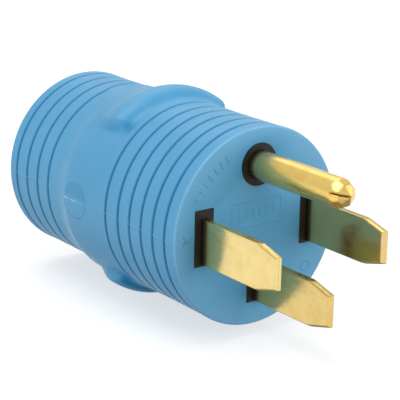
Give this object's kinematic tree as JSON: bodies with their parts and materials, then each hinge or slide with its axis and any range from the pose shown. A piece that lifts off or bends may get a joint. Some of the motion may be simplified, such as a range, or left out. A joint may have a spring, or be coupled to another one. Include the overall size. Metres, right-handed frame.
{
  "type": "rv power adapter",
  "caption": "Round one-piece camper power adapter with a grooved blue grip and finger lugs, flat brass blades and a round ground pin at one end, and a slotted receptacle at the other.",
  "frame": {"origin": "centre of the plug face, where the adapter's axis meets it", "axes": "+X along the adapter's axis towards the prong tips, +Z towards the ground pin, so the two hot blades stand at -Y and +Y and the receptacle faces -X"},
  "size_m": [0.117, 0.0548, 0.0598],
  "materials": {
    "blue_jacket": "satin moulded",
    "black_insert": "matte moulded",
    "grey_filler": "matte moulded",
    "brass": "polished",
    "spring_steel": "plain",
    "copper_strand": "stranded",
    "sleeve_black": "smooth",
    "sleeve_white": "smooth",
    "sleeve_green": "smooth"
  },
  "bodies": {
    "root": {"outer_jacket": "blue_jacket", "inner_core": "grey_filler", "male_insert": "black_insert", "male_retainer": "black_insert", "blade_x": "brass", "blade_y": "brass", "blade_w": "brass", "ground_pin": "brass", "receptacle_face": "black_insert", "receptacle_holder": "black_insert", "receptacle_back": "black_insert", "contact_hot": "brass", "contact_neutral": "brass", "contact_ground": "brass", "spring_hot": "spring_steel", "spring_neutral": "spring_steel", "spring_ground": "spring_steel", "wire_hot": "copper_strand", "wire_neutral": "copper_strand", "wire_ground": "copper_strand", "sleeve_hot": "sleeve_black", "sleeve_neutral": "sleeve_white", "sleeve_ground": "sleeve_green"}
  },
  "joints": []
}
